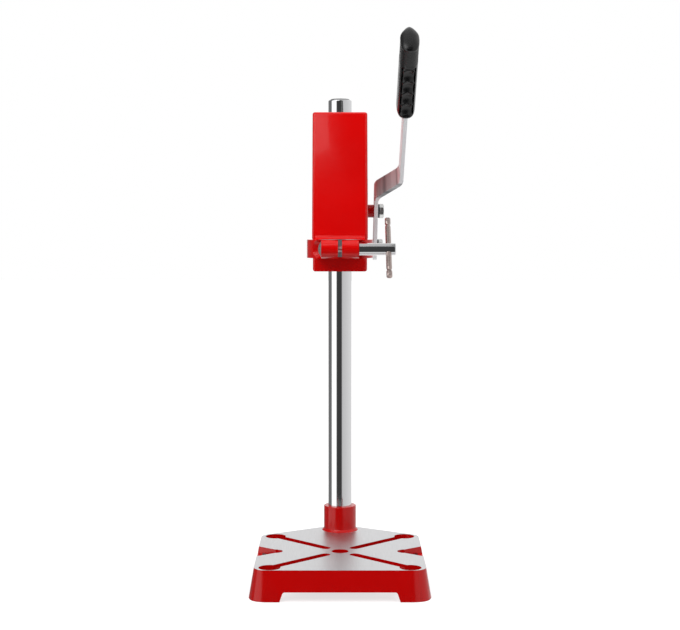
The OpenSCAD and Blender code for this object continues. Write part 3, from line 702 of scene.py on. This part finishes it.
attach(makeColumn(tube), "column", "column", "column_tube")

cap = {"round": 1.0*mm, "rim": 5.0*mm, "dish": 0.4*mm}


def makeCap(c):
    # plug with a rounded edge and a shallow dish inside its rim
    lo, hi = lowHigh("column_cap")
    r, e = (hi[0] - lo[0])/2, c["round"]
    profile = [(0, lo[2]), (r, lo[2]), (r, hi[2] - e), (r - 0.4*e, hi[2] - 0.35*e),
               (r - 1.4*e, hi[2]), (r - c["rim"], hi[2]),
               (r - c["rim"] - c["dish"], hi[2] - c["dish"]), (0, hi[2] - c["dish"])]
    return turned("column_plug", profile, ((lo[0] + hi[0])/2, (lo[1] + hi[1])/2, 0), (0, 0, 1),
                  capPlastic)


attach(makeCap(cap), "column", "column_cap", "column_cap")
print("column turned")

# clamp barrel, tommy bar and coach bolt
barrel = {"chamfer": 0.8*mm, "boreR": 3.05*mm, "boreDeep": 6.0*mm, "mouthR": 3.5*mm,
          "edge": 0.5*mm, "dimpleR": 1.2*mm, "dimple": 0.5*mm, "segments": 160}


def makeBarrel(b):
    # round nut: bored and eased at its inner end, chamfered and dimpled at its outer end
    lo, hi = lowHigh("clamp_barrel")
    r, c = (hi[2] - lo[2])/2, b["chamfer"]
    at = (0, (lo[1] + hi[1])/2, (lo[2] + hi[2])/2)
    x0, x1, e = lo[0], hi[0], b["edge"]
    profile = [(0, x0 + b["boreDeep"]), (b["boreR"], x0 + b["boreDeep"]), (b["boreR"], x0 + e),
               (b["mouthR"], x0), (r - e, x0), (r, x0 + e), (r, x1 - c),
               (r - 0.25*c, x1 - 0.4*c), (r - c, x1), (b["dimpleR"], x1), (0, x1 - b["dimple"])]
    return turned("clamp_nut_barrel", profile, at, (1, 0, 0), barrelChrome, b["segments"])


attach(makeBarrel(barrel), "clamp", "clamp_chrome", "clamp_barrel")

tommy = {"end": 8.0*mm, "endR": 3.2*mm, "barR": 2.75*mm, "neckR": 1.85*mm, "flats": 0.12,
         "flatsFade": 2*mm, "segments": 64}


def makeTommy(t):
    # swaged bar: r(h) is the bar's radius, pinched at the neck and swelled at each end
    slide = joints["tommy_slide"]
    axis = np.array(slide["axis"])
    lo, hi = lowHigh("tommy_bar")
    centre = (lo + hi)/2
    verts = np.array([v.co for v in nodes["tommy_bar"].data.vertices])
    along = (verts - centre) @ axis
    h0, h1 = along.min(), along.max()
    half = (h1 - h0)/2
    mid = centre + axis*(h0 + h1)/2
    s = half - t["end"]
    one = [(0, -half), (t["endR"] - 1.0*mm, -half), (t["endR"] - 0.35*mm, -half + 0.25*mm),
           (t["endR"], -half + 0.9*mm), (t["endR"], -s - 2.4*mm),
           (t["endR"] - 0.25*mm, -s - 1.5*mm),
           (t["neckR"] + 0.25*mm, -s - 0.3*mm), (t["neckR"], -s + 0.3*mm),
           (t["neckR"] + 0.2*mm, -s + 1.2*mm), (t["barR"] - 0.1*mm, -s + 2.6*mm),
           (t["barR"], -s + 3.6*mm)]
    profile = one + [(r, -h) for r, h in reversed(one)]

    def crimp(r, h, a):
        # two flats pressed into each swaged end
        near = np.clip((np.abs(h) - s)/t["flatsFade"], 0, 1)
        return r*(1 - t["flats"]*near*np.cos(2*a)**2), h
    return turned("tommy_rod", profile, mid, axis, bareSteel, t["segments"], crimp)


attach(makeTommy(tommy), "tommy", "bare_steel", "tommy_bar")

coach = {"pitch": 1.0*mm, "minorR": 2.5*mm, "majorR": 3.0*mm, "headH": 3.2*mm, "rim": 0.35*mm,
         "neckR": 2.9*mm, "neckLong": 3.0*mm, "segments": 96}
thread = {"lead": 0.3*mm, "stepsPerPitch": 8, "segments": 40}


def threadRadius(pitch, minor, major):
    # r(h, a) = minor + (major - minor) tri(h/pitch - a/2pi)
    def radius(r, h, a):
        t = np.mod(h/pitch - a/(2*np.pi), 1.0)
        wave = np.clip(1.6*(1 - np.abs(2*t - 1)) - 0.3, 0, 1)   # flat crest and root
        cut = minor + (major - minor)*wave
        return np.where(r >= major - 1e-7, cut, r), h
    return radius


def threaded(name, at, axis, h0, h1, pitch, minor, major, mat):
    # screw thread with closed, slightly tapered ends
    lead = thread["lead"]
    low, high = h0 + lead, h1 - lead
    rings = int((high - low)/(pitch/thread["stepsPerPitch"])) + 1
    profile = [(0, h0), (minor - lead, h0)]
    profile += [(major, h) for h in np.linspace(low, high, rings)]
    profile += [(minor - lead, h1), (0, h1)]
    return turned(name, profile, at, axis, mat, thread["segments"],
                  threadRadius(pitch, minor, major))


def makeCoach(c):
    # the domed head is part of a ball: point(t) = (R sin t, R (1 - cos t))
    lo, hi = lowHigh("coach_bolt")
    at = (0, (lo[1] + hi[1])/2, (lo[2] + hi[2])/2)
    r = (hi[2] - lo[2])/2
    x0 = lo[0]
    headH, neckR = c["headH"], c["neckR"]
    ball = (r*r + headH*headH)/(2*headH)
    a = np.linspace(0, math.asin(0.985*r/ball), 14)
    dome = [(ball*math.sin(t), x0 + ball*(1 - math.cos(t))) for t in a]
    under = x0 + headH
    profile = dome + [(r, under - c["rim"]), (r - 0.1*mm, under), (neckR, under),
                      (neckR, under + c["neckLong"]), (0, under + c["neckLong"])]
    head = turned("head", profile, at, (1, 0, 0), zincPlate, c["segments"])
    shank = threaded("shank", at, (1, 0, 0), under, hi[0], c["pitch"], c["minorR"], c["majorR"],
                     zincPlate)
    return joined("coach_screw", [head, shank])


attach(makeCoach(coach), "head", "zinc_steel", "coach_bolt")
print("drill clamp made")

# hexagon fasteners, all along X: node: (piece, body, thread's diameter, across flats, pitch)
hexSizes = {"chamferDeg": 30.0, "washerFace": 0.94, "edge": 0.3*mm, "mouth": 0.4*mm,
            "headShare": 0.56, "threadShare": 0.55, "depthShare": 0.6, "nutEase": 0.04*mm,
            "segments": 96, "neckSegments": 64, "sharpDeg": 20.0}
hexBolts = {"pivot_bolt": ("pivot_screw", "head", 8*mm, 13*mm, 1.25*mm, 1),
            "fulcrum_bolt": ("fulcrum_screw", "carriage", 8*mm, 13*mm, 1.25*mm, 1),
            "height_clamp_bolt": ("height_screw", "carriage", 6*mm, 10*mm, 1.0*mm, -1)}
hexNuts = {"pivot_nut": ("pivot_hex_nut", "head", 8*mm, 13*mm),
           "height_clamp_nut": ("height_hex_nut", "carriage", 6*mm, 10*mm)}


def hexRadius(flatR, faceR, faceH, backFaceH=None):
    # r(a) of a hexagon with a corner at the top, its ends cut by 30 degree cones
    slope = math.tan(math.radians(hexSizes["chamferDeg"]))

    def radius(r, h, a):
        corner = flatR/np.cos(np.abs(np.mod(a, np.pi/3) - np.pi/6)) + 0*r
        wide = r > faceR + 1e-7
        out = np.where(wide, corner, r)
        drop = (corner - faceR)*slope
        h = np.where(wide & (np.abs(h - faceH) < 1e-7), h - drop, h)
        if backFaceH is not None:
            h = np.where(wide & (np.abs(h - backFaceH) < 1e-7), h + drop, h)
        return out, h
    return radius


def hexPiece(name, at, axis, af, h0, h1, bore, mat):
    # hexagon with its far end coned; with a bore both ends are coned, as on a nut
    flatR = af/2
    faceR = flatR*hexSizes["washerFace"]
    big = flatR*1.02   # any radius past faceR, which hexRadius then takes to the hexagon
    edge, mouth = hexSizes["edge"], bore + hexSizes["mouth"]
    if bore:
        profile = [(bore, h0 + edge), (mouth, h0), (faceR, h0), (big, h0), (big, h1),
                   (faceR, h1), (mouth, h1), (bore, h1 - edge), (bore, h0 + edge)]
        radius = hexRadius(flatR, faceR, h1, h0)
    else:
        profile = [(0, h0), (faceR, h0), (big, h0 + 1e-6), (big, h1), (faceR, h1), (0, h1)]
        radius = hexRadius(flatR, faceR, h1)
    return turned(name, profile, at, axis, mat, hexSizes["segments"], radius,
                  hexSizes["sharpDeg"])


def makeHexBolt(node, name, body, d, af, pitch, way):
    # hexagon head, plain neck and threaded end in the CAD bolt's own box; the head faces way
    lo, hi = lowHigh(node)
    y, z = (lo[1] + hi[1])/2, (lo[2] + hi[2])/2
    axis = (way, 0, 0)
    end, tip = sorted((way*lo[0], way*hi[0]))
    at = (0, y, z)
    under = tip - hexSizes["headShare"]*d
    head = hexPiece("head", at, axis, af, under, tip, 0, zincPlate)
    split = end + hexSizes["threadShare"]*(under - end)
    neck = turned("neck", [(0, split - 1*mm), (d/2, split), (d/2, under + 0.2*mm),
                           (0, under + 0.2*mm)], at, axis, zincPlate, hexSizes["neckSegments"])
    rod = threaded("thread", at, axis, end, split + 0.5*mm, pitch,
                   d/2 - hexSizes["depthShare"]*pitch, d/2, zincPlate)
    attach(joined(name, [head, neck, rod]), body, "zinc_steel", node)


def makeNut(node, name, body, d, af):
    lo, hi = lowHigh(node)
    at = (0, (lo[1] + hi[1])/2, (lo[2] + hi[2])/2)
    nut = hexPiece(name, at, (1, 0, 0), af, lo[0], hi[0], d/2 + hexSizes["nutEase"], zincPlate)
    attach(nut, body, "zinc_steel", node)


for node, sizes in hexBolts.items():
    makeHexBolt(node, *sizes)
for node, sizes in hexNuts.items():
    makeNut(node, *sizes)

for node in ("fulcrum_washer", "pivot_washer", "column_grub_screw"):
    nodes[node].data.materials[0] = blackSteel
for node in ("height_clamp_washers", "lower_spring_seat", "upper_spring_seat"):
    nodes[node].data.materials[0] = zincPlate
print("fasteners made")

# height collar
collar = {"edgeMm": 0.4}
collarBody = softened("height_collar", "height_clamp", blackIron, collar["edgeMm"])
attach(collarBody, "carriage", "height_collar", "height_collar")

# return spring
coil = {"turns": 11, "wire": 2.5*mm, "perTurn": 48, "sides": 14, "closed": 2.6*mm,
        "endTurns": 0.04}


def makeSpring(c):
    # wire carried along a helix: centre(t) = (R cos 2 pi t, R sin 2 pi t, rise(t)),
    # rise is close-wound over the first and last turn and evenly pitched between
    lo, hi = lowHigh("return_spring")
    rMid = (hi[0] - lo[0])/2 - c["wire"]/2
    cx, cy = (lo[0] + hi[0])/2, (lo[1] + hi[1])/2
    span = hi[2] - lo[2] - c["wire"]
    t = np.linspace(0, c["turns"], c["turns"]*c["perTurn"] + 1)
    rise = np.interp(t, [0, 1, c["turns"] - 1, c["turns"]],
                     [0, c["closed"], span - c["closed"], span])
    ang = 2*np.pi*t
    b = np.linspace(0, 2*np.pi, c["sides"], endpoint=False)
    taper = np.interp(t, [0, c["endTurns"], c["turns"] - c["endTurns"], c["turns"]],
                      [0.0, 1, 1, 0.0])   # closes both wire ends
    r = rMid + c["wire"]/2*np.cos(b)[None, :]*taper[:, None]
    z = lo[2] + c["wire"]/2 + rise[:, None] + c["wire"]/2*np.sin(b)[None, :]*taper[:, None]
    pts = np.stack([cx + r*np.cos(ang)[:, None], cy + r*np.sin(ang)[:, None], z], axis=-1)
    return surfaceMesh("return_coil", pts, gridFaces(len(t), c["sides"], False, True), springSteel,
                       60), lo[2]


springCoil, springFoot = makeSpring(coil)
attach(springCoil, "carriage", "dark_steel", "return_spring")
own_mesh(springCoil)
print("spring wound")

# lever
lever = {"restDeg": 45.0, "edgeMm": 0.35, "bendMm": 4.5, "bendLong": 15*mm,
         "bendZone": (20*mm, 70*mm), "bendSegments": 6}
# painted reflection: darker bands painted on the lever's plating across the joggle
joggleReflectionBands = {"from": 32*mm, "to": 51*mm, "soft": 1.5*mm, "bands": 75.0, "bandEdges": (0.40, 0.54),
             "least": 0.45, "dark": (0.10, 0.125, 0.13)}
pivot = np.array(joints["lever_turn"]["pos_m"])
tilt = math.radians(lever["restDeg"])
widthDir = Vector((0, math.cos(tilt), math.sin(tilt)))


def toWorld(local):
    # lever's own upright frame, at its pivot, to the rest position
    x, y, z = local[..., 0], local[..., 1], local[..., 2]
    return np.stack([pivot[0] + x, pivot[1] + y*math.cos(tilt) - z*math.sin(tilt),
                     pivot[2] + y*math.sin(tilt) + z*math.cos(tilt)], axis=-1)


def toLocal(world):
    d = np.asarray(world) - pivot
    return np.stack([d[..., 0], d[..., 1]*math.cos(tilt) + d[..., 2]*math.sin(tilt),
                     -d[..., 1]*math.sin(tilt) + d[..., 2]*math.cos(tilt)], axis=-1)


def bendEdges(e):
    # the edges across the bar at the joggle's two bends
    a, b = e.verts[0].co, e.verts[1].co
    run = b - a
    low, high = lever["bendZone"]
    across = abs(run.normalized().dot(widthDir)) > 0.999
    return run.length > lever["bendLong"] and across \
        and low < toLocal(np.array((a + b)/2))[2] < high


def paintJoggleReflection(mat, b):
    # painted reflection: the bar's plating is painted darker across the joggle, in bands that
    # follow the bends, in place of the dark reflections there
    tree = mat.node_tree
    bsdf = tree.nodes["Principled BSDF"]
    plainPlating = bsdf.inputs["Base Color"].links[0].from_socket
    place = addNode(tree, "TexCoord").outputs["Object"]
    away = addNode(tree, "VectorMath", {0: place, 1: tuple(pivot)}, operation="SUBTRACT")
    upBar = (0, -math.sin(tilt), math.cos(tilt))
    along = addNode(tree, "VectorMath", {0: away.outputs[0], 1: upBar},
                    operation="DOT_PRODUCT").outputs["Value"]
    rise = addNode(tree, "MapRange", {"Value": along, "From Min": b["from"] - b["soft"],
                                      "From Max": b["from"] + b["soft"]})
    fall = addNode(tree, "MapRange", {"Value": along, "From Min": b["to"] + b["soft"],
                                      "From Max": b["to"] - b["soft"]})
    inside = addNode(tree, "Math", {0: rise.outputs[0], 1: fall.outputs[0]}, operation="MULTIPLY")
    bands = addNode(tree, "TexNoise", {"W": along, "Scale": b["bands"], "Detail": 2.0},
                    noise_dimensions="1D")
    darkReflectionBands = addNode(tree, "MapRange", {"Value": bands.outputs["Fac"],
                                      "From Min": b["bandEdges"][0],
                                      "From Max": b["bandEdges"][1], "To Min": b["least"]})
    mask = addNode(tree, "Math", {0: inside.outputs[0], 1: darkReflectionBands.outputs[0]}, operation="MULTIPLY")
    color = addNode(tree, "Mix", {"Factor": mask.outputs[0], "A": plainPlating, "B": b["dark"] + (1,)},
                    data_type="RGBA")
    tree.links.new(color.outputs["Result"], bsdf.inputs["Base Color"])


# paints dark reflection bands onto the lever's plating across the joggle
paintJoggleReflection(zincBar, joggleReflectionBands)
barBody = softened("lever_bar", "feed_lever", zincBar, lever["edgeMm"], lever["bendMm"], bendEdges,
                   bigSegments=lever["bendSegments"])
attach(barBody, "lever", "zinc_steel", "lever_bar")

gripShape = {"rows": 460, "cols": 168, "fingers": 4, "fingerPitch": 13.7*mm, "fingerFrom": 18.0*mm,
             "fingerDeep": 2.6*mm, "fingerBow": 0.55, "fingerFade": 0.2, "fingerPower": 0.7,
             "channel": 1.0*mm, "channelEdge": (0.70, 0.77), "land": 1.2*mm,
             "under": (0.25, 0.75), "zoneIn": 4.0*mm, "zoneOut": 2.5*mm,
             "knurlLong": 19.0*mm, "knurlDeep": 0.30*mm, "knurlPitch": 1.9*mm, "knurlEnd": 1.0*mm,
             "capLong": 5.5*mm, "capGap": 0.5*mm, "capStep": 0.15*mm, "noseLong": 11.0*mm,
             "endPower": 2.2, "leanDeg": 1.0, "powerUnder": 2.7, "powerBack": 1.6,
             "ridge": (-0.6, 0.9), "sharpDeg": 50.0}


def smooth(x, a, b):
    # 0 below a, 1 above b, smooth between
    t = np.clip((x - a)/(b - a), 0, 1)
    return t*t*(3 - 2*t)


def makeGrip(g):
    # grip surface: point(t, a) = (A e(t) cosn a, B e(t) sinn a, t L), a superellipse whose size
    # e(t) closes at the nose and the domed cap, less the finger grooves on its underside
    verts = toLocal(np.array([v.co for v in nodes["lever_grip"].data.vertices]))
    lo, hi = verts.min(axis=0), verts.max(axis=0)
    long = hi[2] - lo[2]
    lean = math.tan(math.radians(g["leanDeg"]))
    half = (hi[0] - lo[0] - long*lean)/2
    deep = (hi[1] - lo[1])/2
    s = np.linspace(0, 1, g["rows"])
    # rows crowd towards both ends, where the surface closes
    s = 0.5 - 0.5*np.cos(np.pi*s)
    h = s*long
    a = np.linspace(0, 2*np.pi, g["cols"], endpoint=False)
    nose = np.clip((g["noseLong"] - h)/g["noseLong"], 0, 1)
    cap = np.clip((h - (long - g["capLong"]))/g["capLong"], 0, 1)
    close = np.sqrt(np.clip(1 - nose**g["endPower"], 0, 1)) \
        * np.sqrt(np.clip(1 - cap**g["endPower"], 0, 1))
    # full underneath, drawn in to a ridge along the back
    blendUp = smooth(np.sin(a), *g["ridge"])
    power = 2/(g["powerUnder"] + (g["powerBack"] - g["powerUnder"])*blendUp)
    cx = np.sign(np.cos(a))*np.abs(np.cos(a))**power
    cy = np.sign(np.sin(a))*np.abs(np.sin(a))**power
    x = half*close[:, None]*cx[None, :]
    y = deep*close[:, None]*cy[None, :]
    under = smooth(-cy, *g["under"])[None, :]
    inChannel = (1 - smooth(np.abs(cx), *g["channelEdge"]))[None, :]*under
    zone0 = g["fingerFrom"] - 0.5*g["fingerPitch"]
    zone1 = zone0 + g["fingers"]*g["fingerPitch"]
    inZone = (smooth(h, zone0 - g["zoneIn"], zone0)
              * (1 - smooth(h, zone1, zone1 + g["zoneOut"])))[:, None]
    phase = (h - zone0)/g["fingerPitch"]
    # each groove bows towards the hand's heel, like a row of half moons
    bowed = phase[:, None] + g["fingerBow"]*(cx**2)[None, :]
    scoop = np.abs(np.sin(np.pi*bowed))**g["fingerPower"]*(1 - g["fingerFade"]*(cx**2)[None, :])
    y = y + inZone*(np.maximum(y, -deep + g["land"]) - y)   # flat rims beside the channel
    y = y + inZone*inChannel*(g["channel"] + g["fingerDeep"]*scoop)
    # knurled band next to the cap: crossed waves, strongest on the flanks
    knurl1 = long - g["capLong"] - g["capGap"]
    knurl0 = knurl1 - g["knurlLong"]
    inKnurl = (smooth(h, knurl0, knurl0 + g["knurlEnd"])
               * (1 - smooth(h, knurl1 - g["knurlEnd"], knurl1)))[:, None]
    around = np.cumsum(np.hypot(np.diff(np.append(half*cx, half*cx[0])),
                                np.diff(np.append(deep*cy, deep*cy[0]))))[None, :]
    wave = np.abs(np.sin(np.pi*(h[:, None] + around)/g["knurlPitch"])) \
        * np.abs(np.sin(np.pi*(h[:, None] - around)/g["knurlPitch"]))
    dip = g["knurlDeep"]*inKnurl*(1 - wave)
    norm = np.hypot(cx, cy)[None, :] + 1e-9
    x = x - dip*cx[None, :]/norm
    y = y - dip*cy[None, :]/norm
    # a fine step where the cap's rim stands over the knurl
    step = g["capStep"]*(1 - smooth(h, knurl1 - 0.3*mm, knurl1 + 0.2*mm))[:, None]*smooth(
        h, knurl0 - 2*mm, knurl0)[:, None]
    x = x - step*cx[None, :]/norm
    y = y - step*cy[None, :]/norm
    cx0 = (lo[0] + half)
    pts = np.stack([cx0 + x + h[:, None]*lean, y, lo[2] + h[:, None] + 0*x], axis=-1)
    return surfaceMesh("lever_handle", toWorld(pts), gridFaces(g["rows"], g["cols"], False, True),
                       gripPlastic, g["sharpDeg"])


attach(makeGrip(gripShape), "lever", "grip", "lever_grip")
print("lever and grip made")
